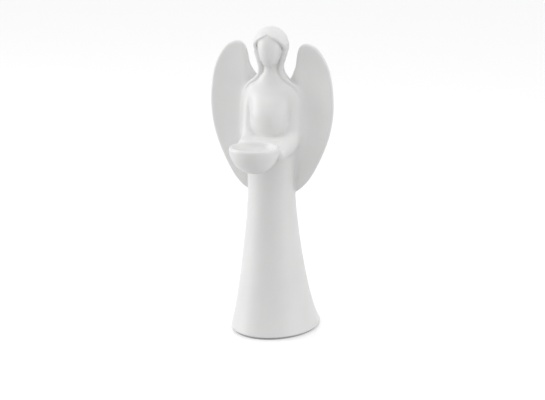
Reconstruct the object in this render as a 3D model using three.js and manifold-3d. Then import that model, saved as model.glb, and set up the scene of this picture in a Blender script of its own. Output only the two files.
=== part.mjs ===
// A resin angel figurine that holds a tealight bowl, about 320 mm tall, as the castings, pins and
// fillings that it is glued together from. Millimetres, +Z up, the figure faces -Y, its left hand is
// at +X. The origin is on the surface it stands on, straight below its neck.
import * as THREE from "three";
import { mergeVertices } from "three/addons/utils/BufferGeometryUtils.js";
import Module from "manifold-3d";

const wasm = await Module();
wasm.setup();

// ---- Driving dimensions -------------------------------------------------------------------------
const HEIGHT = 320; // floor to the crown of the head
const GLUE = 0.3; // bond line between two castings
const FELT = { thickness: 1.8, inset: 2.2 };
const WALL = 5; // the hollow gown's wall
const PLATE = { thickness: 4, ledge: 2.5 };
const PLUG = { radius: 8, head: 10.5, headHeight: 1.4 };
const BALLAST_TOP = 46;
const CAVITY_TOP = 150;
const BOWL = { y: -56.5, radius: 25.7, rim: 206.4, depth: 28, wall: 3.4, floor: 15, lip: 1.5 };
const NECK_JOINT = 266; // the flat where the head casting stands on the gown casting
const HEAD = { y: -1, z: HEIGHT - 18.5, radius: 18.5 };
const FACE = { w: 12.6, d: 13.6, h: 16.5, y: -4, z: 298 };
// The edge of the hair round the face and throat, in X and Z, and how far back the bare part goes.
const HAIRLINE = [
  [0, 312], [-6.5, 309.5], [-12, 305], [-14.2, 299], [-13, 291], [-10.4, 283], [-9.2, 277],
  [-9.8, 271], [-16, 264.6], [-27, 255], [27, 255], [16, 264.6], [9.8, 271], [9.2, 277],
  [10.4, 283], [13, 291], [14.2, 299], [12, 305], [6.5, 309.5],
];
const HAIRLINE_BACK = -0.6;
// The front of the hair seen from the side, in Y and Z: far back at the jaw, forward at the crown.
const HAIR_FRONT = [[-3.2, 250], [-3.2, 289], [-7.6, 300], [-13.6, 308], [-19, 315]];

// Sections of a casting from the bottom up: height, half width, half depth and centre in Y.
const SKIRT = [
  { z: FELT.thickness + GLUE, w: 45.2, d: 60, y: 15.5 },
  { z: 20, w: 40.8, d: 51, y: 10.8 },
  { z: 48, w: 35.4, d: 42.2, y: 6.6 },
  { z: 85, w: 30.2, d: 33.8, y: 3.2 },
  { z: 122, w: 26.1, d: 27.6, y: 1.2 },
  { z: 150, w: 24.4, d: 24.8, y: 0.2 },
  { z: 180, w: 24.8, d: 23.4, y: -1.5 },
  { z: 200, w: 24.6, d: 20.6, y: -1.8 },
  { z: 207, w: 21, d: 16, y: -1.6 },
];
const TORSO = [
  { z: 196, w: 13.6, d: 12.6, y: 4.6 },
  { z: 208, w: 16.6, d: 15, y: 2.2 },
  { z: 218, w: 19, d: 18, y: -1.2 },
  { z: 230, w: 20.4, d: 19.6, y: -3 },
  { z: 242, w: 21, d: 18, y: -2 },
  { z: 252, w: 21.6, d: 14.6, y: 0 },
  { z: 259, w: 19, d: 12, y: 1.2 },
  { z: 263, w: 14.6, d: 10.6, y: 1.8 },
  { z: NECK_JOINT, w: 10.6, d: 9.4, y: 1.8 },
];
const NECK = [
  { z: NECK_JOINT + GLUE, w: 9.7, d: 8.9, y: 1.8 },
  { z: 273, w: 8.4, d: 8.2, y: 1.2 },
  { z: 282, w: 8.2, d: 8.6, y: 0 },
  { z: 292, w: 9, d: 10, y: 0 },
];
const HAIR = [
  { z: 224, w: 3, d: 2.4, y: 17.4 },
  { z: 236, w: 8, d: 4.6, y: 15.6 },
  { z: 248, w: 13.5, d: 8, y: 11.2 },
  { z: 258, w: 19, d: 9.6, y: 6 },
  { z: 266, w: 18, d: 10, y: 3.6 },
  { z: 273, w: 13.4, d: 10.8, y: 2.6 },
  { z: 281, w: 12.6, d: 11.8, y: 1.8 },
  { z: 289, w: 15.6, d: 14, y: 0.6 },
  { z: 299, w: 17.8, d: 16.4, y: -0.4 },
];
// The lock at +X, from the temple along the face and neck onto the shoulder.
const HAIR_LOCK = [
  { at: [15.4, -2.5, 294], r: 2.6 },
  { at: [11.4, -3, 280], r: 2.4 },
  { at: [11.4, -3, 273], r: 2.4 },
  { at: [14, -2.6, 267.5], r: 2.4 },
  { at: [19.5, -1.6, 263], r: 2.3 },
  { at: [25, 0, 258], r: 2.1 },
  { at: [28.2, 1.8, 252], r: 1.6 },
];
// The arm at +X: centre line and radius from the shoulder over the elbow to the hand.
const ARM = [
  { at: [17.5, 1.6, 253], r: 7.6 },
  { at: [21.4, 0.6, 240], r: 7.4 },
  { at: [22.8, -0.4, 222], r: 7 },
  { at: [23, -2.4, 208], r: 7.2 },
  { at: [22.8, -10, 200.4], r: 7.2 },
  { at: [22, -24, 198], r: 6.8 },
  { at: [21.4, -40, 196.6], r: 6.8 },
];
// The wing at +X: outline in X and Z, anticlockwise from the outer edge as seen from -Y.
const WING = {
  centre: [36, 226],
  outline: [
    [66, 244], [62, 275], [51, 296.5], [39, 303.5], [30.5, 301], [26.4, 292], [24.8, 281],
    [20, 270], [13, 258], [9, 240], [8, 215], [9, 190], [14, 166], [20, 149], [27.5, 147.5],
    [41.5, 163.5], [55.5, 191], [63.7, 217],
  ],
  edgeY: 1.2,
  cup: 5,
  root: { from: 32, to: 14 },
  rootDepth: [{ z: 147, y: 9 }, { z: 172, y: 10 }, { z: 192, y: 11 }, { z: 236, y: 12.5 }, { z: 300, y: 9 }],
  thickness: 6.4,
  roundness: 5,
};
const FACETS = { gown: 32, skirtRings: 12, torsoRings: 9, limb: 12, head: 24, wing: 40, lathe: 32, pin: 12 };

// ---- Solids -------------------------------------------------------------------------------------
// A closed geometry as a manifold-3d solid.
function solid(geometry) {
  const bare = geometry.clone();
  bare.deleteAttribute("normal");
  bare.deleteAttribute("uv");
  const merged = mergeVertices(bare, 1e-4);
  return new wasm.Manifold(
    new wasm.Mesh({
      numProp: 3,
      vertProperties: new Float32Array(merged.attributes.position.array),
      triVerts: new Uint32Array(merged.index.array),
    }),
  );
}

function geometryOf(made) {
  const mesh = made.getMesh();
  const geometry = new THREE.BufferGeometry();
  geometry.setAttribute("position", new THREE.BufferAttribute(mesh.vertProperties, 3));
  geometry.setIndex(new THREE.BufferAttribute(mesh.triVerts, 1));
  geometry.computeVertexNormals();
  return geometry;
}

// The same geometry on the other side of the plane X = 0, its faces turned to point out again.
function mirrored(geometry) {
  const copy = geometry.clone().scale(-1, 1, 1);
  const index = copy.index.array;
  for (let i = 0; i < index.length; i += 3) [index[i + 1], index[i + 2]] = [index[i + 2], index[i + 1]];
  copy.computeVertexNormals();
  return copy;
}

// Moves every vertex of a geometry through a function of a Vector3.
function bend(geometry, move) {
  const at = geometry.attributes.position;
  const v = new THREE.Vector3();
  for (let i = 0; i < at.count; i++) {
    move(v.fromBufferAttribute(at, i));
    at.setXYZ(i, v.x, v.y, v.z);
  }
  return geometry;
}

// A smooth value at height z through sections that are in order of z (cubic Hermite).
function sectionAt(sections, z, key) {
  const last = sections.length - 1;
  let i = 0;
  while (i < last - 1 && z > sections[i + 1].z) i++;
  const slope = (k) => {
    const a = sections[Math.max(k - 1, 0)];
    const b = sections[Math.min(k + 1, last)];
    return (b[key] - a[key]) / (b.z - a.z);
  };
  const [a, b] = [sections[i], sections[i + 1]];
  const h = b.z - a.z;
  const t = THREE.MathUtils.clamp((z - a.z) / h, 0, 1);
  const rise = (b[key] - a[key]) * t * t * (3 - 2 * t);
  return a[key] + rise + h * t * (1 - t) * (slope(i) * (1 - t) - slope(i + 1) * t);
}

// A closed loft of elliptical sections, each one `grow` bigger all round.
function loft(sections, facets, rings, grow = 0, from = sections[0].z, to = sections.at(-1).z) {
  const shape = new THREE.CylinderGeometry(1, 1, 1, facets, rings).rotateX(Math.PI / 2);
  return bend(shape, (v) => {
    const z = THREE.MathUtils.lerp(from, to, v.z + 0.5);
    v.x *= sectionAt(sections, z, "w") + grow;
    v.y = sectionAt(sections, z, "y") + v.y * (sectionAt(sections, z, "d") + grow);
    v.z = z;
  });
}

// A round-ended limb along points that each have a radius.
function limb(points, grow = 0) {
  const line = new THREE.CatmullRomCurve3(points.map((p) => new THREE.Vector3(...p.at)));
  const radii = points.map((p, i) => ({ z: i / (points.length - 1), r: p.r + grow }));
  const length = line.getLength();
  const side = new THREE.Vector3(1, 0, 0);
  const shape = new THREE.CapsuleGeometry(1, length, 3, FACETS.limb, 12);
  return bend(shape, (v) => {
    const s = THREE.MathUtils.clamp(0.5 - v.y / length, 0, 1);
    const cap = -v.y - (s - 0.5) * length;
    const u = line.getUtoTmapping(s);
    const r = sectionAt(radii, u, "r");
    const along = line.getTangent(u);
    const b = new THREE.Vector3().crossVectors(along, side).normalize();
    const n = new THREE.Vector3().crossVectors(b, along);
    const [x, z] = [v.x, v.z];
    v.copy(line.getPoint(u)).addScaledVector(along, cap * r).addScaledVector(n, x * r);
    v.addScaledVector(b, z * r);
  });
}

// A pin, or the hole for one, with its middle at `at` and its axis along `axis`.
function pin(at, axis, length, radius) {
  const turn = new THREE.Quaternion().setFromUnitVectors(
    new THREE.Vector3(0, 1, 0), new THREE.Vector3(...axis).normalize());
  return new THREE.CylinderGeometry(radius, radius, length, FACETS.pin)
    .applyQuaternion(turn).translate(...at);
}

const pinHole = (p) => solid(pin(p.at, p.axis, p.length + 2 * GLUE, p.radius + GLUE));

// ---- Castings -----------------------------------------------------------------------------------
const skirt = (grow) => solid(loft(SKIRT, FACETS.gown, FACETS.skirtRings, grow));
const torso = (grow) => solid(loft(TORSO, FACETS.gown, FACETS.torsoRings, grow));

// The lap: the sleeves' cloth between the forearms, level with them, that closes the gown in front.
function lap(grow) {
  const shape = new THREE.SphereGeometry(1, 20, 8).rotateX(Math.PI / 2);
  return solid(bend(shape, (v) => {
    const flat = Math.sign(v.z) * Math.abs(v.z) ** 0.6;
    v.set(v.x * (24 + grow), v.y * (21 + grow) - 19, 200.4 + flat * (6 + grow));
  }));
}

const body = (grow) => skirt(grow).add(torso(grow)).add(lap(grow));

// The bowl's half section, from the middle of its underside over the lip to the middle of its inside.
function bowlSection(grow) {
  const { radius, rim, depth, wall, floor, lip } = BOWL;
  const quarter = Math.PI / 2;
  const widest = rim - lip;
  const outside = new THREE.EllipseCurve(0, widest, radius + grow, depth - lip + grow, -quarter, 0);
  const edge = new THREE.EllipseCurve(radius - wall / 2, widest, wall / 2 + grow, lip + grow, 0, 2 * quarter);
  const inside = new THREE.EllipseCurve(0, widest, radius - wall, depth - lip - floor, 0, -quarter, true);
  return [...outside.getPoints(9), ...edge.getPoints(6).slice(1, -1), ...inside.getPoints(7)];
}

// The bowl, or with `filled` the whole space it takes up with its inside.
function bowl(grow = 0, filled = false) {
  const { y, rim } = BOWL;
  const whole = bowlSection(grow);
  const section = filled ? whole.slice(0, 13) : whole;
  if (filled) section.push(new THREE.Vector2(0, rim + grow));
  section[0].x = 0;
  section.at(-1).x = 0;
  return solid(new THREE.LatheGeometry(section, FACETS.lathe).rotateX(Math.PI / 2).translate(0, y, 0));
}

// The bare head on its neck: a plain egg of a face with nothing drawn on it.
function skull(grow) {
  const { w, d, h, y, z } = FACE;
  const egg = new THREE.SphereGeometry(1, FACETS.head, 12).scale(w + grow, d + grow, h + grow);
  return solid(loft(NECK, FACETS.head, 5, grow, NECK[0].z - grow)).add(solid(egg.translate(0, y, z)));
}

// The hair falls from the crown over the ears and shoulders, and down between the wings.
function hairMass(grow) {
  const { radius, y, z } = HEAD;
  const crown = new THREE.SphereGeometry(radius + grow, FACETS.head, 14).rotateX(Math.PI / 2);
  return solid(loft(HAIR, FACETS.head, 11, grow)).add(solid(crown.translate(0, y, z)));
}

// A prism on an outline, from 0 to its length along its third axis.
function prism(outline, length) {
  const shape = new THREE.Shape(outline.map(([a, b]) => new THREE.Vector2(a, b)));
  return new THREE.ExtrudeGeometry(shape, { depth: length, bevelEnabled: false, steps: 1 });
}

// What the hair leaves bare in front: the face, then a bay that widens down over the throat.
const faceOpening = () => solid(prism(HAIRLINE, 60).rotateX(Math.PI / 2).translate(0, HAIRLINE_BACK, 0));

// Everything before the hair's front edge.
function beforeHair() {
  const [low, high] = [HAIR_FRONT[0][1], HAIR_FRONT.at(-1)[1]];
  const side = prism([[-60, low], ...HAIR_FRONT, [-60, high]], 80).translate(0, 0, -40);
  const axes = [new THREE.Vector3(0, 1, 0), new THREE.Vector3(0, 0, 1), new THREE.Vector3(1, 0, 0)];
  return solid(side.applyMatrix4(new THREE.Matrix4().makeBasis(...axes)));
}

function hairLocks(grow) {
  const left = solid(limb(HAIR_LOCK, grow));
  return left.add(left.mirror([1, 0, 0]));
}

// A wing is a leaf-shaped sheet, cupped towards the front, whose root turns back round the body.
function wingSheet() {
  const { centre, outline, edgeY, cup, root, rootDepth, thickness, roundness } = WING;
  const leaf = new THREE.CatmullRomCurve3(outline.map(([x, z]) => new THREE.Vector3(x, 0, z)), true);
  const rim = leaf.getSpacedPoints(FACETS.wing);
  const { smoothstep, lerp } = THREE.MathUtils;
  return bend(new THREE.SphereGeometry(1, FACETS.wing, 12), (v) => {
    const turn = (Math.atan2(v.z, v.x) / (2 * Math.PI) + 1) % 1;
    const out = Math.min(Math.hypot(v.x, v.z), 1);
    const edge = rim[Math.round(turn * FACETS.wing) % FACETS.wing];
    const side = Math.sign(v.y) * (1 - out ** roundness) ** (1 / 2);
    const x = lerp(centre[0], edge.x, out);
    const z = lerp(centre[1], edge.z, out);
    const sheetY = edgeY + cup * (1 - out * out);
    const rootY = sectionAt(rootDepth, z, "y");
    const inRoot = smoothstep(-x, -root.from, -root.to);
    v.set(x, lerp(sheetY, rootY, inRoot) + (side * thickness) / 2, z);
  });
}

// The lost corners that a cut can leave loose are dropped: a casting is its one big piece.
function biggest(made) {
  const pieces = made.decompose();
  return pieces.sort((a, b) => b.volume() - a.volume())[0];
}

// ---- Pins, and what stands on the floor ---------------------------------------------------------
const PINS = {
  neck_pin: { at: [0, 1.8, NECK_JOINT], axis: [0, 0, 1], length: 16, radius: 1.5 },
  bowl_pin: { at: [0, -29.6, 198], axis: [0, 1, 0], length: 9, radius: 1.5 },
  left_arm_pin: { at: [20, 0, 232], axis: [1, 0, 0], length: 12, radius: 1.5 },
  left_wing_upper_pin: { at: [15, 11.6, 238], axis: [1, -0.15, 0], length: 13, radius: 1.2 },
  left_wing_lower_pin: { at: [22, 8.8, 190], axis: [1, -0.4, 0], length: 13, radius: 1.2 },
};

// A layer across the gown's foot that stops `inset` short of its outside.
const footLayer = (inset, from, to) => loft(SKIRT, FACETS.gown, 2, -inset, from, to);

// Everything between two heights.
function slab(from, to) {
  return solid(new THREE.BoxGeometry(200, 200, to - from).translate(0, 0, (from + to) / 2));
}

function disc(radius, from, to) {
  return new THREE.CylinderGeometry(radius, radius, to - from, 24).rotateX(Math.PI / 2)
    .translate(0, SKIRT[0].y, (from + to) / 2);
}

const FOOT = SKIRT[0].z;
const PLATE_TOP = FOOT + PLATE.thickness;

const insideOfGown = (grow) => solid(loft(SKIRT, FACETS.gown, FACETS.skirtRings, grow, FOOT - 1, CAVITY_TOP));

// The seat for the base plate, cut wider than the hollow so that the plate rests on a ledge.
const plateSeat = (play) => solid(footLayer(WALL - PLATE.ledge + play, FOOT - 1, PLATE_TOP + GLUE));

function gownCasting(holes) {
  let made = body(0).subtract(bowl(GLUE, true)).subtract(insideOfGown(-WALL)).subtract(plateSeat(0));
  for (const hole of holes) made = made.subtract(hole);
  return made;
}

function basePlate() {
  const plate = plateSeat(GLUE).intersect(slab(FOOT, PLATE_TOP));
  const bore = solid(disc(PLUG.radius + GLUE, FOOT - 1, PLATE_TOP + 1));
  const counterbore = solid(disc(PLUG.head + GLUE, FOOT - 1, FOOT + PLUG.headHeight + GLUE));
  return plate.subtract(bore).subtract(counterbore);
}

function fillPlug() {
  const head = solid(disc(PLUG.head, FOOT, FOOT + PLUG.headHeight));
  return head.add(solid(disc(PLUG.radius, FOOT + PLUG.headHeight / 2, PLATE_TOP)));
}

// The plaster poured in on top of the base plate fills the gown's lower end.
function ballastBlock() {
  return insideOfGown(-WALL - GLUE).intersect(slab(PLATE_TOP + 2 * GLUE, BALLAST_TOP));
}

// ---- The assembly -------------------------------------------------------------------------------
const resin = () => new THREE.MeshStandardMaterial({ color: 0xf1f1f0, roughness: 0.32, metalness: 0 });
const steel = () => new THREE.MeshStandardMaterial({ color: 0xa9abad, roughness: 0.4, metalness: 1 });
const rubber = () => new THREE.MeshStandardMaterial({ color: 0x3a3a3a, roughness: 0.8, metalness: 0 });
const felt = () => new THREE.MeshStandardMaterial({ color: 0x55585a, roughness: 1, metalness: 0 });
const plaster = () => new THREE.MeshStandardMaterial({ color: 0xd9d4c8, roughness: 0.95, metalness: 0 });

const angel = new THREE.Group();

function place(name, geometry, material) {
  const mesh = new THREE.Mesh(geometry, material);
  mesh.name = name;
  angel.add(mesh);
}

// A left-hand piece and its mirror image on the right.
function placePair(name, geometry, material) {
  place(name, geometry, material());
  place(name.replace("left", "right"), mirrored(geometry), material());
}

const holes = Object.entries(PINS).flatMap(([name, p]) => {
  const hole = pinHole(p);
  return name.startsWith("left") ? [hole, hole.mirror([1, 0, 0])] : [hole];
});
const cut = (made, ...others) => others.reduce((left, other) => left.subtract(other), made);
const armPair = (grow) => {
  const left = solid(limb(ARM, grow));
  return left.add(left.mirror([1, 0, 0]));
};

const arm = cut(solid(limb(ARM)), body(GLUE), bowl(GLUE, true), ...holes);
const framed = cut(hairMass(0), beforeHair(), faceOpening()).add(hairLocks(0));
const hair = cut(framed, body(GLUE), armPair(GLUE), skull(GLUE));
const room = hairMass(GLUE).add(hairLocks(GLUE));
const wing = cut(solid(wingSheet()), body(GLUE), armPair(GLUE), room, ...holes);

place("gown", geometryOf(gownCasting(holes)), resin());
place("head", geometryOf(cut(skull(0), ...holes)), resin());
place("hair", geometryOf(biggest(hair)), resin());
place("bowl", geometryOf(cut(bowl(), ...holes)), resin());
placePair("left_arm", geometryOf(biggest(arm)), resin);
placePair("left_wing", geometryOf(biggest(wing)), resin);
for (const [name, p] of Object.entries(PINS)) {
  const rod = pin(p.at, p.axis, p.length, p.radius);
  if (name.startsWith("left")) placePair(name, rod, steel);
  else place(name, rod, steel());
}
place("base_plate", geometryOf(basePlate()), resin());
place("fill_plug", geometryOf(fillPlug()), rubber());
place("ballast", geometryOf(ballastBlock()), plaster());
place("felt_pad", footLayer(FELT.inset, 0, FELT.thickness), felt());

export default angel;
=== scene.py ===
"""A white resin angel that holds out a tealight bowl: its smooth, filled and sprayed surface.

The castings are described as signed distances in millimetres, negative inside, joined with soft
fillets as the glued and filled original is. Each casting is then meshed on its own, and cut from its
neighbours along the line where the two distances are equal, so that no joint shows.
"""
import math

import bmesh
import bpy
import numpy as np
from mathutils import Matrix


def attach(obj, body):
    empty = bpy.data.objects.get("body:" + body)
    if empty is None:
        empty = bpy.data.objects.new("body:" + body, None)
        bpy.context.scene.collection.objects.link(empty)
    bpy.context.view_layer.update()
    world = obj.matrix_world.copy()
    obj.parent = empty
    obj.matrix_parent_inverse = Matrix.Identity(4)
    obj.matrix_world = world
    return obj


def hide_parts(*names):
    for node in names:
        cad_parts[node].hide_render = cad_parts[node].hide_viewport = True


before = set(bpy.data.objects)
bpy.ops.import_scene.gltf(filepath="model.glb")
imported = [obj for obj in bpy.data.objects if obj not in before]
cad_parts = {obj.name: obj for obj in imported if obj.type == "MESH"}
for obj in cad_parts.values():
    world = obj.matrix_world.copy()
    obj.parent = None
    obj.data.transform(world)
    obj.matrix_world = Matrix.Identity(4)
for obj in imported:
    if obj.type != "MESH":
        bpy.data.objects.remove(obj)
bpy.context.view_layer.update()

import openvdb
from mathutils import Matrix, Vector

MM = 0.001
COARSE = 1.0


# ---- Sizes, in millimetres ----------------------------------------------------------------------
# Tables of sections, from the bottom up: height, half width, half depth and centre in Y.
SKIRT = [
    (2.1, 45.2, 60, 15.5), (20, 40.8, 51, 10.8), (48, 35.4, 42.2, 6.6), (85, 30.2, 33.8, 3.2),
    (122, 26.1, 27.6, 1.2), (150, 24.4, 24.8, 0.2), (180, 24.8, 23.4, -1.5), (200, 25, 22, -1.8),
    (215, 25, 21.5, -1.8),
]
SKIRT_TOP = 206
TORSO = [
    (190, 13, 12, 5), (200, 14, 13, 4.4), (208, 17.4, 15, 2.2), (218, 19.6, 18, -1.2),
    (230, 20.4, 19.6, -3), (242, 21, 18, -2), (252, 21.6, 14.6, 0), (260, 19.6, 12, 1.4),
    (266, 15.4, 10.6, 1.8), (272, 11, 9.6, 1.8),
]
NECK = [(250, 10.5, 10, 1.8), (262, 9.4, 9, 1.8), (273, 8.3, 8.2, 1.2), (282, 8.2, 8.6, 0), (292, 9, 10, 0)]
FACE = [
    (279, 5.2, 5.6, -5.6), (283, 8, 8.4, -5.2), (288, 10.5, 11, -4.9), (294, 12.1, 12.6, -4.4),
    (300, 12.9, 13.4, -4), (306, 12.5, 13.2, -3.6), (311, 11.3, 12.1, -3.3), (315, 8.4, 8.8, -3.2),
]
HAIR = [
    (222, 2.5, 2.2, 14.2), (236, 8, 4.6, 15.2), (248, 13.5, 8, 11.2), (258, 19, 9.6, 6),
    (266, 18, 10, 3.6), (273, 13.4, 10.8, 2.6), (281, 12.3, 11.8, 1.8), (289, 15, 14, 0.6),
    (297, 17.1, 16.6, -0.4), (303, 17.5, 17.4, -1),
]
CROWN = {"y": -1, "z": 302.1, "radius": 17.8}
# Half the width that the hair leaves bare, by height: throat, neck, jaw, temples, and the parting.
HAIRLINE = [
    (250, 34), (256, 27.5), (260, 22.6), (263.6, 17), (267, 11.8), (272, 9.2), (278, 9), (285, 11.1),
    (291, 12.8), (296.5, 13.9), (301, 13.9), (305, 12.3), (308.6, 9.2), (311.6, 4.8), (314, 0), (318, -9),
]
HAIR_LOCK = [
    ((15.4, -2.5, 294), 2.6), ((13.4, -3, 287), 2.5), ((11.4, -3, 280), 2.4), ((11.4, -3, 273), 2.4),
    ((14, -2.6, 267.5), 2.4), ((19.5, -1.6, 263), 2.3), ((25, 0, 258), 2.1), ((28.2, 1.8, 252), 1.4),
]
ARM = [
    ((17.5, 1.6, 253), 7.6), ((21.4, 0.6, 240), 7.4), ((22.8, -0.4, 222), 7), ((23, -2.4, 208), 7.2),
    ((22.8, -10, 200.4), 7.2), ((22, -24, 198), 6.8), ((21.4, -40, 196.6), 6.8),
]
LAP = {"y": -19, "z": 200.4, "w": 24, "d": 21, "h": 6, "edge": 5}
BOWL = {"y": -56.5, "radius": 25.7, "rim": 206.4, "depth": 28, "wall": 4, "floor": 15}
BOWL_ROUNDING = {"outside": 5, "inside": 3.6, "join": 3}
WING_CENTRE = (36, 226)
WING_OUTLINE = [
    (66, 244), (62, 275), (51, 296.5), (39, 303.5), (30.5, 301), (26.4, 292), (24.8, 281), (20, 270),
    (13, 258), (9, 240), (8, 215), (9, 190), (14, 166), (20, 151), (27.5, 149.5), (41.5, 163.8),
    (55.5, 191), (63.7, 217),
]
WING = {"edge": 1.2, "cup": 5, "thickness": 6, "rounding": 5.7, "root_from": 32, "root_to": 14}
WING_ROOT = [(147, 9), (172, 10), (192, 11), (236, 12.5), (300, 9)]
GOWN_WALL = 5
CAVITY = {"top": 150, "rounding": 12}
PLATE_SEAT = {"inset": 2.5, "low": 0.5, "high": 6.4}
FELT = {"thickness": 1.8, "inset": 2.2, "edge": 0.5}
PIN_CLEARANCE = 0.3
# How softly each part runs into the ones below it.
FILLET = {
    "torso": 5, "neck": 9, "lap": 9, "face": 4, "crown": 5, "hair_front": 3, "hair_opening": 1.6, "lock": 2,
}
# The step of each casting's mesh, and of the rooms that the castings are cut to.
MESH_STEP = {"bowl": 0.9, "hair": 0.65, "head": 0.65, "arm": 0.8, "wing": 1.3, "gown": 1.0}
ROOM_STEP = {"bowl": 1.6, "hair": 1.2, "arm": 1.4, "wing": 1.8, "hollow": 2.2}
# A face is skin if its corners are this near the surface and it faces this much along its normal.
ON_SKIN, FACING = 0.06, 0.6
FOOT_SIDES, FOOT_EDGE_RINGS = 160, 5


# ---- Curves through a few sizes -----------------------------------------------------------------
def table(points, samples=1200):
    """Smooth curves through rows that start with the height: (heights, one column per size)."""
    rows = np.array(points, float)
    z = rows[:, 0]
    slope = np.empty_like(rows[:, 1:])
    slope[1:-1] = (rows[2:, 1:] - rows[:-2, 1:]) / (z[2:] - z[:-2])[:, None]
    slope[0] = (rows[1, 1:] - rows[0, 1:]) / (z[1] - z[0])
    slope[-1] = (rows[-1, 1:] - rows[-2, 1:]) / (z[-1] - z[-2])
    fine = np.linspace(z[0], z[-1], samples)
    i = np.clip(np.searchsorted(z, fine, side="right") - 1, 0, len(z) - 2)
    step = (z[i + 1] - z[i])[:, None]
    t = ((fine - z[i])[:, None]) / step
    a, b = rows[i, 1:], rows[i + 1, 1:]
    curve = a + (b - a) * t * t * (3 - 2 * t) + step * t * (1 - t) * (slope[i] * (1 - t) - slope[i + 1] * t)
    return fine, curve


def catmull(points, per_span=12, closed=False):
    """A smooth line through points of any dimension."""
    p = np.array(points, float)
    n = len(p)
    spans = n if closed else n - 1
    line = []
    for i in range(spans):
        if closed:
            a, b, c, d = (p[(i + k) % n] for k in (-1, 0, 1, 2))
        else:
            b, c = p[i], p[i + 1]
            a = p[i - 1] if i else 2 * b - c
            d = p[i + 2] if i + 2 < n else 2 * c - b
        t = np.linspace(0, 1, per_span, endpoint=False)[:, None]
        line.append(0.5 * (2 * b + (c - a) * t + (2 * a - 5 * b + 4 * c - d) * t**2
                           + (3 * b - a - 3 * c + d) * t**3))
    if not closed:
        line.append(p[-1:])
    return np.concatenate(line)


# ---- Distances ----------------------------------------------------------------------------------
def join(a, b, fillet):
    """The union of two solids with a fillet between them."""
    h = np.maximum(fillet - np.abs(a - b), 0) / fillet
    return np.minimum(a, b) - h**3 * fillet / 6


def cut(a, b, fillet):
    """Solid a without solid b, with a rounded edge."""
    return -join(-a, b, fillet)


def both(a, b, fillet):
    """What two solids share, with a rounded edge."""
    return -join(-a, -b, fillet)


def ellipse(u, v, a, b):
    """The distance to an ellipse, exact near it."""
    k = np.sqrt((u / a) ** 2 + (v / b) ** 2 + 1e-8)
    slope = np.sqrt((u / a**2) ** 2 + (v / b**2) ** 2 + 1e-12)
    return k * (k - 1) / slope


def lofted(sections):
    """A solid of elliptical sections, open above and below."""
    heights, curve = table(sections)

    def field(x, y, z):
        w, d, centre = (np.interp(z, heights, curve[:, k]) for k in range(3))
        return ellipse(x, y - centre, w, d)

    return field


def limb(points):
    """A round-ended limb along points that each have a radius."""
    line = catmull([(*at, r) for at, r in points], per_span=6)
    spacing = np.linalg.norm(np.diff(line[:, :3], axis=0), axis=1).mean()

    def field(x, y, z):
        nearest = np.full(x.shape, np.inf)
        for px, py, pz, _ in line:
            nearest = np.minimum(nearest, (x - px) ** 2 + (y - py) ** 2 + (z - pz) ** 2)
        total = np.zeros(x.shape)
        mean = [np.zeros(x.shape) for _ in range(4)]
        for node in line:
            gap = (x - node[0]) ** 2 + (y - node[1]) ** 2 + (z - node[2]) ** 2 - nearest
            weight = np.exp(-gap / spacing**2)
            total += weight
            for k in range(4):
                mean[k] += weight * node[k]
        cx, cy, cz, r = (m / total for m in mean)
        return np.sqrt((x - cx) ** 2 + (y - cy) ** 2 + (z - cz) ** 2) - r

    return field


def near(field, low, high, far=60.0):
    """The same solid, worked out only inside the box around it."""

    def boxed(x, y, z):
        out = np.full(x.shape, far)
        inside = ((x > low[0]) & (x < high[0]) & (y > low[1]) & (y < high[1])
                  & (z > low[2]) & (z < high[2]))
        out[inside] = field(x[inside], y[inside], z[inside])
        return out

    return boxed


def smooth_step(value, start, end):
    t = np.clip((value - start) / (end - start), 0, 1)
    return t * t * (3 - 2 * t)


skirt_sides = lofted(SKIRT)
torso_sides = lofted(TORSO)
neck_sides = lofted(NECK)
face_sides = lofted(FACE)
hair_sides = lofted(HAIR)
arm_limb = near(limb(ARM), (0, -70, 170), (60, 30, 280))
lock_limb = near(limb(HAIR_LOCK), (0, -20, 235), (50, 25, 312))
hairline_heights, hairline_width = table(HAIRLINE)
hairline_slope = np.gradient(hairline_width[:, 0], hairline_heights)
wing_root_heights, wing_root_depth = table(WING_ROOT)


def gown(x, y, z):
    sides = skirt_sides(x, y, z)
    return both(sides, z - SKIRT_TOP, 14)


def torso(x, y, z):
    return both(torso_sides(x, y, z), z - TORSO[-1][0], 8)


def lap(x, y, z):
    sides = ellipse(x, y - LAP["y"], LAP["w"], LAP["d"])
    return both(sides, np.abs(z - LAP["z"]) - LAP["h"], LAP["edge"])


def neck(x, y, z):
    sides = neck_sides(x, y, z)
    return both(sides, np.maximum(NECK[0][0] - z, z - NECK[-1][0]), 3)


def face(x, y, z):
    k = np.sqrt(0.6)
    sides = face_sides(x, y, z) * k
    return both(sides, np.maximum(FACE[0][0] - z, z - FACE[-1][0]), 6)


def arm(x, y, z):
    return arm_limb(np.abs(x), y, z)


def bowl_outside(x, y, z):
    r = np.hypot(x, y - BOWL["y"])
    dome = ellipse(r, z - BOWL["rim"], BOWL["radius"], BOWL["depth"])
    return both(dome, z - BOWL["rim"], BOWL_ROUNDING["outside"])


def bowl_inside(x, y, z):
    r = np.hypot(x, y - BOWL["y"])
    radius, depth = BOWL["radius"] - BOWL["wall"], BOWL["depth"] - BOWL["floor"]
    return ellipse(r, z - BOWL["rim"], radius, depth)


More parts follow.
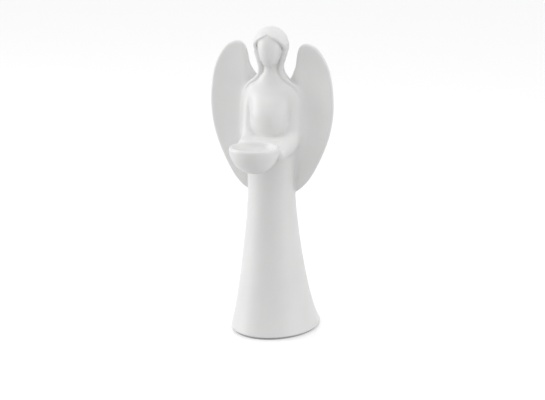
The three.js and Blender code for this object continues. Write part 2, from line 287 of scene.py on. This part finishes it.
def wing_polar(samples=2880, waves=56):
    """The wing's outline as its distance from the centre in each direction, made smooth."""
    line = catmull(WING_OUTLINE, per_span=60, closed=True) - np.array(WING_CENTRE)
    turn = np.arctan2(line[:, 1], line[:, 0])
    order = np.argsort(turn)
    angles = np.linspace(-math.pi, math.pi, samples, endpoint=False)
    radius = np.interp(angles, turn[order], np.hypot(*line.T)[order], period=2 * math.pi)
    spectrum = np.fft.rfft(radius)
    spectrum *= np.exp(-(np.arange(len(spectrum)) / waves) ** 4)
    radius = np.fft.irfft(spectrum, samples)
    slope = (np.roll(radius, -1) - np.roll(radius, 1)) / (4 * math.pi / samples)
    return angles, radius, slope


WING_TURN, WING_RADIUS, WING_SLOPE = wing_polar()


def wing_plan(x, z):
    """How far inside the outline a point is, from 0 in the middle to 1 on it, and its distance."""
    u, v = x - WING_CENTRE[0], z - WING_CENTRE[1]
    rho = np.hypot(u, v) + 1e-6
    turn = np.arctan2(v, u)
    radius = np.interp(turn, WING_TURN, WING_RADIUS, period=2 * math.pi)
    slope = np.interp(turn, WING_TURN, WING_SLOPE, period=2 * math.pi)
    distance = (rho - radius) / np.sqrt(1 + (slope / np.maximum(rho, 12)) ** 2)
    return rho / radius, distance


def wing_depth(x, z, out):
    """Where the middle of the wing's sheet lies in Y: cupped, its root turned back to the body."""
    sheet = WING["edge"] + WING["cup"] * (1 - np.minimum(out, 1.25) ** 2)
    root = np.interp(z, wing_root_heights, wing_root_depth[:, 0])
    blend = smooth_step(-x, -WING["root_from"], -WING["root_to"])
    return sheet + (root - sheet) * blend


def wing_sheet(x, y, z):
    x = np.abs(x)
    out, edge = wing_plan(x, z)
    middle = wing_depth(x, z, out)
    step = 0.5
    out_x, _ = wing_plan(x + step, z)
    out_z, _ = wing_plan(x, z + step)
    slope_x = (wing_depth(x + step, z, out_x) - middle) / step
    slope_z = (wing_depth(x, z + step, out_z) - middle) / step
    across = np.abs(y - middle) / np.sqrt(1 + slope_x**2 + slope_z**2)
    return both(edge, across - WING["thickness"] / 2, WING["rounding"])


wing = near(wing_sheet, (-80, -30, 130), (80, 45, 320))


def hair_opening(x, y, z):
    """The bare part in front, through which the face and throat show."""
    half = np.interp(z, hairline_heights, hairline_width[:, 0])
    slope = np.interp(z, hairline_heights, hairline_slope)
    sides = (np.abs(x) - half) / np.sqrt(1 + slope**2)
    back_at_neck, further_at_face = -2.4, 2.4
    back = back_at_neck - further_at_face * smooth_step(z, 285, 295)
    return both(sides, y - back, 1)


def hair_front(y, z):
    """What lies before the hair's front edge, which is far back at the jaw and forward at the crown."""
    at_jaw, further_at_crown = -3.2, 17
    return y - (at_jaw - further_at_crown * smooth_step(z, 289, 320))


def hair_all(x, y, z):
    crown = np.sqrt(x**2 + (y - CROWN["y"]) ** 2 + (z - CROWN["z"]) ** 2) - CROWN["radius"]
    falls = both(hair_sides(x, y, z), np.maximum(HAIR[0][0] - z, z - HAIR[-1][0]), 3)
    mass = join(crown, falls, FILLET["crown"])
    mass = cut(mass, hair_front(y, z), FILLET["hair_front"])
    opened = cut(mass, hair_opening(x, y, z), FILLET["hair_opening"])
    return join(opened, lock_limb(np.abs(x), y, z), FILLET["lock"])


hair = near(hair_all, (-50, -40, 205), (50, 40, 335))


def body(x, y, z):
    """Gown, torso, lap, arms and neck as one."""
    trunk = join(gown(x, y, z), torso(x, y, z), FILLET["torso"])
    trunk = join(trunk, neck(x, y, z), FILLET["neck"])
    trunk = join(trunk, lap(x, y, z), FILLET["lap"])
    elbow_softness = 9 * smooth_step(-z, -228, -209)
    shoulder_softness = 7 * smooth_step(z, 231, 254)
    return join(trunk, arm(x, y, z), 3.5 + elbow_softness + shoulder_softness)


def figure(x, y, z):
    """The whole figure, with the bowl's inside still solid and its foot still open."""
    wing_fillet = 5 + 11 * smooth_step(z, 160, 200) - 12 * smooth_step(z, 248, 268)
    whole = join(body(x, y, z), wing(x, y, z), wing_fillet)
    whole = join(whole, face(x, y, z), FILLET["face"])
    hairline_fillet = 1.8 + 4 * smooth_step(z, 296, 310)
    whole = join(whole, hair(x, y, z), hairline_fillet)
    whole = join(whole, bowl_outside(x, y, z), BOWL_ROUNDING["join"])
    return cut(whole, bowl_inside(x, y, z), BOWL_ROUNDING["inside"])


def skin(x, y, z):
    """The figure, cut off level where the gown's foot meets the pad."""
    return np.maximum(figure(x, y, z), SKIRT[0][0] - z)


# ---- Meshing ------------------------------------------------------------------------------------
def sample(field, low, high, step, symmetric):
    """The field on a grid that starts at a multiple of its step, so that grids of one step agree.

    A symmetric one is worked out on one side and mirrored.
    """
    xs, ys, zs = (np.arange(math.floor(a / step), math.ceil(b / step) + 1) * step
                  for a, b in zip(low, high))
    if symmetric:
        xs = xs[xs > -0.5 * step]
    grid = np.meshgrid(xs, ys, zs, indexing="ij")
    values = field(*(g.ravel() for g in grid)).reshape(grid[0].shape)
    if symmetric:
        values = np.concatenate([values[:0:-1], values])
        xs = np.concatenate([-xs[:0:-1], xs])
    for axis in range(3):
        edge = np.moveaxis(values, axis, 0)
        edge[0] = np.maximum(edge[0], step)
        edge[-1] = np.maximum(edge[-1], step)
    return values, np.array([xs[0], ys[0], zs[0]])


def gradient(field, points, reach=0.08):
    slopes = np.empty_like(points)
    for axis in range(3):
        shift = np.zeros(3)
        shift[axis] = reach
        slopes[:, axis] = (field(*(points + shift).T) - field(*(points - shift).T)) / (2 * reach)
    return slopes


def settle(field, points, step, rounds=3):
    """Moves points onto the surface. Those that are far from it are left."""
    for _ in range(rounds):
        value = field(*points.T)
        slope = gradient(field, points)
        size = np.maximum((slope**2).sum(1), 0.05)
        move = -(value / size)[:, None] * slope
        length = np.linalg.norm(move, axis=1, keepdims=True)
        move *= np.minimum(1, 0.5 * step / np.maximum(length, 1e-9))
        points = points + np.where(np.abs(value)[:, None] < 1.5 * step, move, 0)
    return points


def relax(points, quads, step, field):
    """Evens the mesh out along the surface."""
    edges = np.concatenate([quads[:, [k, (k + 1) % 4]] for k in range(4)])
    count = np.bincount(edges.ravel(), minlength=len(points)).astype(float)
    for _ in range(3):
        mean = np.zeros_like(points)
        for axis in range(3):
            total = np.bincount(edges[:, 0], points[edges[:, 1], axis], len(points))
            total += np.bincount(edges[:, 1], points[edges[:, 0], axis], len(points))
            mean[:, axis] = total / np.maximum(count, 1)
        points = points + 0.5 * (mean - points)
    return settle(field, points, step)


def surface(field, low, high, step, symmetric=False, polish=True):
    """A closed mesh of a solid inside a box: points and four-sided faces that look outwards."""
    values, origin = sample(field, low, high, step, symmetric)
    grid = openvdb.FloatGrid(3 * step)
    grid.copyFromArray(np.clip(values, -3 * step, 3 * step).astype(np.float32))
    points, _, quads = grid.convertToPolygons(isovalue=0.0, adaptivity=0.0)
    points = points.astype(float) * step + origin
    if polish:
        points = relax(points, quads.astype(int), step, field)
    return points, quads


def mesh_object(name, points, faces):
    mesh = bpy.data.meshes.new(name)
    mesh.from_pydata((np.asarray(points) * MM).tolist(), [], [list(face) for face in faces])
    mesh.update()
    made = bpy.data.objects.new(name, mesh)
    bpy.context.scene.collection.objects.link(made)
    return made


def combine(target, cutter, operation):
    """Cuts the target's mesh with another, or keeps what they share."""
    step = target.modifiers.new("cut", "BOOLEAN")
    step.operation = operation
    step.solver = "MANIFOLD"
    step.object = cutter
    result = target.evaluated_get(bpy.context.evaluated_depsgraph_get())
    mesh = bpy.data.meshes.new_from_object(result)
    target.modifiers.clear()
    old = target.data
    target.data = mesh
    mesh.name = target.name
    bpy.data.meshes.remove(old)


def closed_from_grid(name, field, low, high, step, polish=True, symmetric=False):
    points, quads = surface(field, low, high, step * COARSE, symmetric, polish)
    return mesh_object(name, points, quads)


def mirrored(name, source):
    """The same mesh on the other side of the plane X = 0."""
    mesh = source.data.copy()
    mesh.name = name
    mesh.transform(Matrix.Scale(-1, 4, (1, 0, 0)))
    mesh.flip_normals()
    made = bpy.data.objects.new(name, mesh)
    bpy.context.scene.collection.objects.link(made)
    return made


def remove(*objects):
    for made in objects:
        bpy.data.objects.remove(made)


# ---- The castings -------------------------------------------------------------------------------
def cell(own, others, reach=4.0):
    """The room around a casting where its own solid is nearer than its neighbours'."""

    def field(x, y, z):
        mine = own(x, y, z)
        theirs = others[0](x, y, z)
        for other in others[1:]:
            theirs = np.minimum(theirs, other(x, y, z))
        return np.maximum(mine - theirs, mine - reach)

    return field


def room(name, field, low, high, symmetric=False):
    """The mesh of a cell, which needs no polish because only the line where it meets the skin shows."""
    return closed_from_grid(f"{name}_room", field, low, high, ROOM_STEP[name], False, symmetric)


def cavity(x, y, z):
    sides = skirt_sides(x, y, z) + GOWN_WALL
    return both(sides, np.maximum(z - CAVITY["top"], -z), CAVITY["rounding"])


def foot_layer(name, inset, low, high, edge=0.0):
    """A flat layer across the foot, its edge rounded over in a few steps."""
    around = np.linspace(0, 2 * math.pi, FOOT_SIDES, endpoint=False)
    heights, curve = table(SKIRT)
    steps = np.linspace(0, math.pi / 2, FOOT_EDGE_RINGS)
    rings = [(low + edge * (1 - math.sin(a)), edge * (1 - math.cos(a))) for a in steps[::-1]]
    rings += [(high - edge * (1 - math.sin(a)), edge * (1 - math.cos(a))) for a in steps]
    if not edge:
        rings = [(low, 0), (high, 0)]
    points = []
    for z, back in rings:
        w, d, y = (np.interp(max(z, SKIRT[0][0]), heights, curve[:, k]) for k in range(3))
        shrink = inset + back
        points += [((w - shrink) * math.cos(a), y + (d - shrink) * math.sin(a), z) for a in around]
    count = len(around)
    faces = [list(range(count))[::-1], [len(points) - count + i for i in range(count)]]
    for ring in range(len(rings) - 1):
        for i in range(count):
            j = (i + 1) % count
            faces.append([ring * count + i, ring * count + j, (ring + 1) * count + j, (ring + 1) * count + i])
    return mesh_object(name, points, faces)


def pin_hole(node):
    """A cutter for a pin's hole: the pin itself, grown by its clearance."""
    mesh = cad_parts[node].data.copy()
    welded = bmesh.new()
    welded.from_mesh(mesh)
    bmesh.ops.remove_doubles(welded, verts=welded.verts, dist=0.01 * MM)
    welded.normal_update()
    for vertex in welded.verts:
        vertex.co += vertex.normal * PIN_CLEARANCE * MM
    welded.to_mesh(mesh)
    welded.free()
    made = bpy.data.objects.new("hole", mesh)
    bpy.context.scene.collection.objects.link(made)
    return made


def shade(made):
    """Smooth skin whose normals are the surface's own, and flat faces inside the joints."""
    mesh = made.data
    points = np.empty(len(mesh.vertices) * 3)
    mesh.vertices.foreach_get("co", points)
    points = points.reshape(-1, 3) / MM
    on_skin = np.abs(skin(*points.T)) < ON_SKIN
    slopes = gradient(skin, points)
    slopes /= np.maximum(np.linalg.norm(slopes, axis=1, keepdims=True), 1e-9)
    normals = [None] * len(mesh.loops)
    smooth = np.zeros(len(mesh.polygons), bool)
    for face in mesh.polygons:
        corners = list(face.vertices)
        if on_skin[corners].all() and slopes[corners].mean(0) @ np.array(face.normal) > FACING:
            smooth[face.index] = True
        for loop in face.loop_indices:
            corner = mesh.loops[loop].vertex_index
            normals[loop] = tuple(slopes[corner]) if smooth[face.index] else tuple(face.normal)
    mesh.polygons.foreach_set("use_smooth", np.ones(len(mesh.polygons), bool))
    mesh.normals_split_custom_set(normals)
    mesh.update()


def casting(name, low, high, step, keep=None, drop=(), holes=(), symmetric=False):
    """One casting: the figure's skin inside a box, cut to its own room."""
    made = closed_from_grid(name, skin, low, high, step, symmetric=symmetric)
    if keep:
        combine(made, keep, "INTERSECT")
    for other in drop:
        combine(made, other, "DIFFERENCE")
    for node in holes:
        cutter = pin_hole(node)
        combine(made, cutter, "DIFFERENCE")
        remove(cutter)
    return made


def castings():
    """Every casting, as {CAD node: object}."""
    made = {}
    bowl_room = room("bowl", cell(bowl_outside, [lap, arm, gown]), (-32, -88, 172), (32, -24, 214), True)
    hair_room = room("hair", cell(hair, [torso, neck, face, arm, wing], 3), (-40, -28, 208), (40, 30, 326),
                     True)
    left_arm_room = room("arm", cell(arm, [torso, gown, lap, wing]), (8, -54, 182), (42, 20, 268))
    left_wing_room = room("wing", cell(wing, [torso, gown, arm]), (-1, -14, 136), (76, 32, 314))
    right_arm_room = mirrored("arm_room", left_arm_room)
    right_wing_room = mirrored("wing_room", left_wing_room)
    head_room = mesh_box("head_room", (-16, -26, 266), (16, 16, 326))

    made["bowl"] = casting("bowl_casting", (-30, -86, 174), (30, -26, 210), MESH_STEP["bowl"], bowl_room,
                           holes=["bowl_pin"], symmetric=True)
    made["hair"] = casting("hair_casting", (-38, -26, 210), (38, 28, 324), MESH_STEP["hair"], hair_room,
                           symmetric=True)
    made["left_arm"] = casting("left_arm_casting", (10, -52, 184), (40, 18, 266), MESH_STEP["arm"],
                               left_arm_room, [bowl_room, hair_room], ["left_arm_pin"])
    made["left_wing"] = casting("left_wing_casting", (1, -12, 138), (74, 30, 312), MESH_STEP["wing"],
                                left_wing_room, [hair_room, left_arm_room],
                                ["left_wing_upper_pin", "left_wing_lower_pin"])
    made["right_arm"] = mirrored("right_arm_casting", made["left_arm"])
    made["right_wing"] = mirrored("right_wing_casting", made["left_wing"])
    made["head"] = casting("head_casting", (-19, -28, 260), (19, 19, 324), MESH_STEP["head"], head_room,
                           [hair_room], ["neck_pin"], symmetric=True)

    hollow = closed_from_grid("hollow", cavity, (-50, -50, -3), (50, 80, 156), ROOM_STEP["hollow"],
                              symmetric=True)
    seat = foot_layer("seat", PLATE_SEAT["inset"], PLATE_SEAT["low"], PLATE_SEAT["high"])
    pins = [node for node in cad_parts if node.endswith("_pin")]
    rooms = [bowl_room, hair_room, left_arm_room, right_arm_room, left_wing_room, right_wing_room, head_room]
    made["gown"] = casting("gown_casting", (-48, -48, -2), (48, 80, 276), MESH_STEP["gown"], None,
                           rooms + [hollow, seat], pins, symmetric=True)
    remove(*rooms, hollow, seat)
    for piece in made.values():
        shade(piece)
    return made


def mesh_box(name, low, high):
    corners = [(x, y, z) for x in (low[0], high[0]) for y in (low[1], high[1]) for z in (low[2], high[2])]
    faces = [(0, 1, 3, 2), (4, 6, 7, 5), (0, 4, 5, 1), (2, 3, 7, 6), (0, 2, 6, 4), (1, 5, 7, 3)]
    return mesh_object(name, corners, faces)


# ---- Materials ----------------------------------------------------------------------------------
def new_material(name, color, roughness):
    """A material and the two nodes that every one of them uses: the shader and the coordinates."""
    made = bpy.data.materials.new(name)
    made.use_nodes = True
    shader = made.node_tree.nodes["Principled BSDF"]
    shader.inputs["Base Color"].default_value = (*color, 1)
    shader.inputs["Roughness"].default_value = roughness
    coordinates = made.node_tree.nodes.new("ShaderNodeTexCoord")
    return made, shader, coordinates


def noise(material, coordinates, scale, detail=3.0, rough=0.5):
    node = material.node_tree.nodes.new("ShaderNodeTexNoise")
    node.inputs["Scale"].default_value = scale
    node.inputs["Detail"].default_value = detail
    node.inputs["Roughness"].default_value = rough
    material.node_tree.links.new(coordinates.outputs["Object"], node.inputs["Vector"])
    return node


def vary_color(material, shader, source, dark, light):
    """The base colour wanders between two colours."""
    ramp = material.node_tree.nodes.new("ShaderNodeValToRGB")
    ramp.color_ramp.elements[0].position = 0.3
    ramp.color_ramp.elements[0].color = (*dark, 1)
    ramp.color_ramp.elements[1].position = 0.7
    ramp.color_ramp.elements[1].color = (*light, 1)
    material.node_tree.links.new(source.outputs["Fac"], ramp.inputs["Fac"])
    material.node_tree.links.new(ramp.outputs["Color"], shader.inputs["Base Color"])


def vary_roughness(material, shader, source, low, high):
    span = material.node_tree.nodes.new("ShaderNodeMapRange")
    span.inputs["From Min"].default_value = 0.3
    span.inputs["From Max"].default_value = 0.7
    span.inputs["To Min"].default_value = low
    span.inputs["To Max"].default_value = high
    material.node_tree.links.new(source.outputs["Fac"], span.inputs["Value"])
    material.node_tree.links.new(span.outputs["Result"], shader.inputs["Roughness"])


def bump(material, shader, source, height, strength=1.0, under=None):
    """A height in metres from a texture, on top of another bump if there is one."""
    node = material.node_tree.nodes.new("ShaderNodeBump")
    node.inputs["Distance"].default_value = height
    node.inputs["Strength"].default_value = strength
    material.node_tree.links.new(source.outputs["Fac"], node.inputs["Height"])
    if under:
        material.node_tree.links.new(under.outputs["Normal"], node.inputs["Normal"])
    material.node_tree.links.new(node.outputs["Normal"], shader.inputs["Normal"])
    return node


def resin_material():
    """White lacquered resin: satin, with a faint orange peel and a slight cloudiness."""
    material, shader, at = new_material("white_resin", (0.8, 0.8, 0.795), 0.42)
    shader.inputs["Specular IOR Level"].default_value = 0.45
    shader.inputs["Coat Weight"].default_value = 0.06
    shader.inputs["Coat Roughness"].default_value = 0.2
    cloud = noise(material, at, 26, 4)
    vary_color(material, shader, cloud, (0.775, 0.775, 0.77), (0.81, 0.81, 0.805))
    vary_roughness(material, shader, noise(material, at, 70, 2), 0.38, 0.47)
    waves = bump(material, shader, noise(material, at, 120, 2), 0.00004, 0.5)
    bump(material, shader, noise(material, at, 900, 2), 0.00001, 0.35, waves)
    return material


def felt_material():
    material, shader, at = new_material("grey_felt", (0.4, 0.4, 0.4), 0.95)
    shader.inputs["Sheen Weight"].default_value = 0.4
    shader.inputs["Sheen Roughness"].default_value = 0.6
    fibres = noise(material, at, 1500, 6, 0.7)
    vary_color(material, shader, fibres, (0.33, 0.33, 0.335), (0.45, 0.45, 0.455))
    bump(material, shader, fibres, 0.0004, 0.8)
    return material


def steel_material():
    material, shader, at = new_material("drawn_wire", (0.56, 0.57, 0.58), 0.35)
    shader.inputs["Metallic"].default_value = 1.0
    vary_roughness(material, shader, noise(material, at, 800, 4), 0.28, 0.45)
    bump(material, shader, noise(material, at, 2500, 3), 0.00002, 0.5)
    return material


def plaster_material():
    material, shader, at = new_material("cast_plaster", (0.74, 0.71, 0.64), 0.9)
    vary_color(material, shader, noise(material, at, 90, 5), (0.66, 0.63, 0.56), (0.78, 0.75, 0.68))
    bump(material, shader, noise(material, at, 450, 6, 0.65), 0.0005, 0.7)
    return material


def rubber_material():
    material, shader, at = new_material("black_rubber", (0.03, 0.03, 0.03), 0.7)
    vary_roughness(material, shader, noise(material, at, 300, 3), 0.6, 0.8)
    bump(material, shader, noise(material, at, 1200, 4), 0.00008, 0.5)
    return material


def dress(made, material):
    made.data.materials.clear()
    made.data.materials.append(material)


# ---- The set ------------------------------------------------------------------------------------
AIM = Vector((0.00095, 0.00031, 0.1382))
AZIMUTH, ELEVATION = math.radians(18), math.radians(13.5)
DISTANCE = 2.385
FOCAL_PIXELS, FRAME_PIXELS, SENSOR = 2305, 545, 36
TENT = {"level": 0.69, "lean": (-0.06, 0.15, 0.01)}
SIDE_BOX, TOP_BOX = (1.0, 1.2), (1.4, 1.4)
LIT_POINT = (0, 0, 0.16)
# Place in metres, size and power of each softbox.
SOFTBOXES = {
    "left_box": ((-1.67, -0.3, 0.6), SIDE_BOX, 12.5),
    "right_box": ((1.7, 0, 0.6), SIDE_BOX, 6.5),
    "front_box": ((0.3, -1.67, 0.6), SIDE_BOX, 2.5),
    "top_box": ((0.1, -0.4, 1.85), TOP_BOX, 7),
}
FLOOR = {"half": 20000, "white": 0.92, "roughness": 0.22, "glow": 0.2}


def make_camera():
    data = bpy.data.cameras.new("camera")
    data.sensor_width = SENSOR
    data.lens = FOCAL_PIXELS * SENSOR / FRAME_PIXELS
    made = bpy.data.objects.new("camera", data)
    bpy.context.scene.collection.objects.link(made)
    level = math.cos(ELEVATION)
    back = Vector((math.sin(AZIMUTH) * level, -math.cos(AZIMUTH) * level, math.sin(ELEVATION)))
    made.location = AIM + back * DISTANCE
    made.rotation_euler = back.to_track_quat("Z", "Y").to_euler()
    bpy.context.scene.camera = made


def softbox(name, place, size, power):
    data = bpy.data.lights.new(name, "AREA")
    data.shape = "RECTANGLE"
    data.size, data.size_y = size
    data.energy = power
    made = bpy.data.objects.new(name, data)
    bpy.context.scene.collection.objects.link(made)
    made.location = place
    made.rotation_euler = (Vector(place) - Vector(LIT_POINT)).to_track_quat("Z", "Y").to_euler()


def white_tent():
    """The even surround, a little brighter behind the figure than in front of it."""
    world = bpy.data.worlds.new("tent")
    world.use_nodes = True
    nodes, links = world.node_tree.nodes, world.node_tree.links
    sky = nodes["Background"]
    sky.inputs["Color"].default_value = (1, 1, 1, 1)
    at = nodes.new("ShaderNodeTexCoord")
    lean = nodes.new("ShaderNodeVectorMath")
    lean.operation = "DOT_PRODUCT"
    lean.inputs[1].default_value = TENT["lean"]
    level = nodes.new("ShaderNodeMath")
    level.operation = "ADD"
    level.inputs[1].default_value = TENT["level"]
    links.new(at.outputs["Generated"], lean.inputs[0])
    links.new(lean.outputs["Value"], level.inputs[0])
    links.new(level.outputs["Value"], sky.inputs["Strength"])
    bpy.context.scene.world = world


def make_floor():
    """White acrylic: bright, and just glossy enough to mirror the foot."""
    half = FLOOR["half"]
    made = mesh_object("floor", [(-half, -half, 0), (half, -half, 0), (half, half, 0), (-half, half, 0)],
                       [(0, 1, 2, 3)])
    material = bpy.data.materials.new("floor_white")
    material.use_nodes = True
    shader = material.node_tree.nodes["Principled BSDF"]
    shader.inputs["Base Color"].default_value = (FLOOR["white"], FLOOR["white"], FLOOR["white"], 1)
    shader.inputs["Roughness"].default_value = FLOOR["roughness"]
    shader.inputs["Emission Color"].default_value = (1, 1, 1, 1)
    shader.inputs["Emission Strength"].default_value = FLOOR["glow"]
    dress(made, material)
    made.visible_diffuse = False


# ---- Assembly -----------------------------------------------------------------------------------
make_camera()
white_tent()
make_floor()
for box, (place, size, power) in SOFTBOXES.items():
    softbox(box, place, size, power)

resin = resin_material()
for node, piece in castings().items():
    dress(piece, resin)
    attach(piece, "root")
    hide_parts(node)

pad = foot_layer("felt_foot", FELT["inset"], 0, FELT["thickness"], FELT["edge"])
dress(pad, felt_material())
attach(pad, "root")
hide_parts("felt_pad")

steel = steel_material()
for node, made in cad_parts.items():
    if node.endswith("_pin"):
        dress(made, steel)
dress(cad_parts["ballast"], plaster_material())
dress(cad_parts["fill_plug"], rubber_material())
dress(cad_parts["base_plate"], resin)

bpy.context.scene.view_settings.view_transform = "Standard"
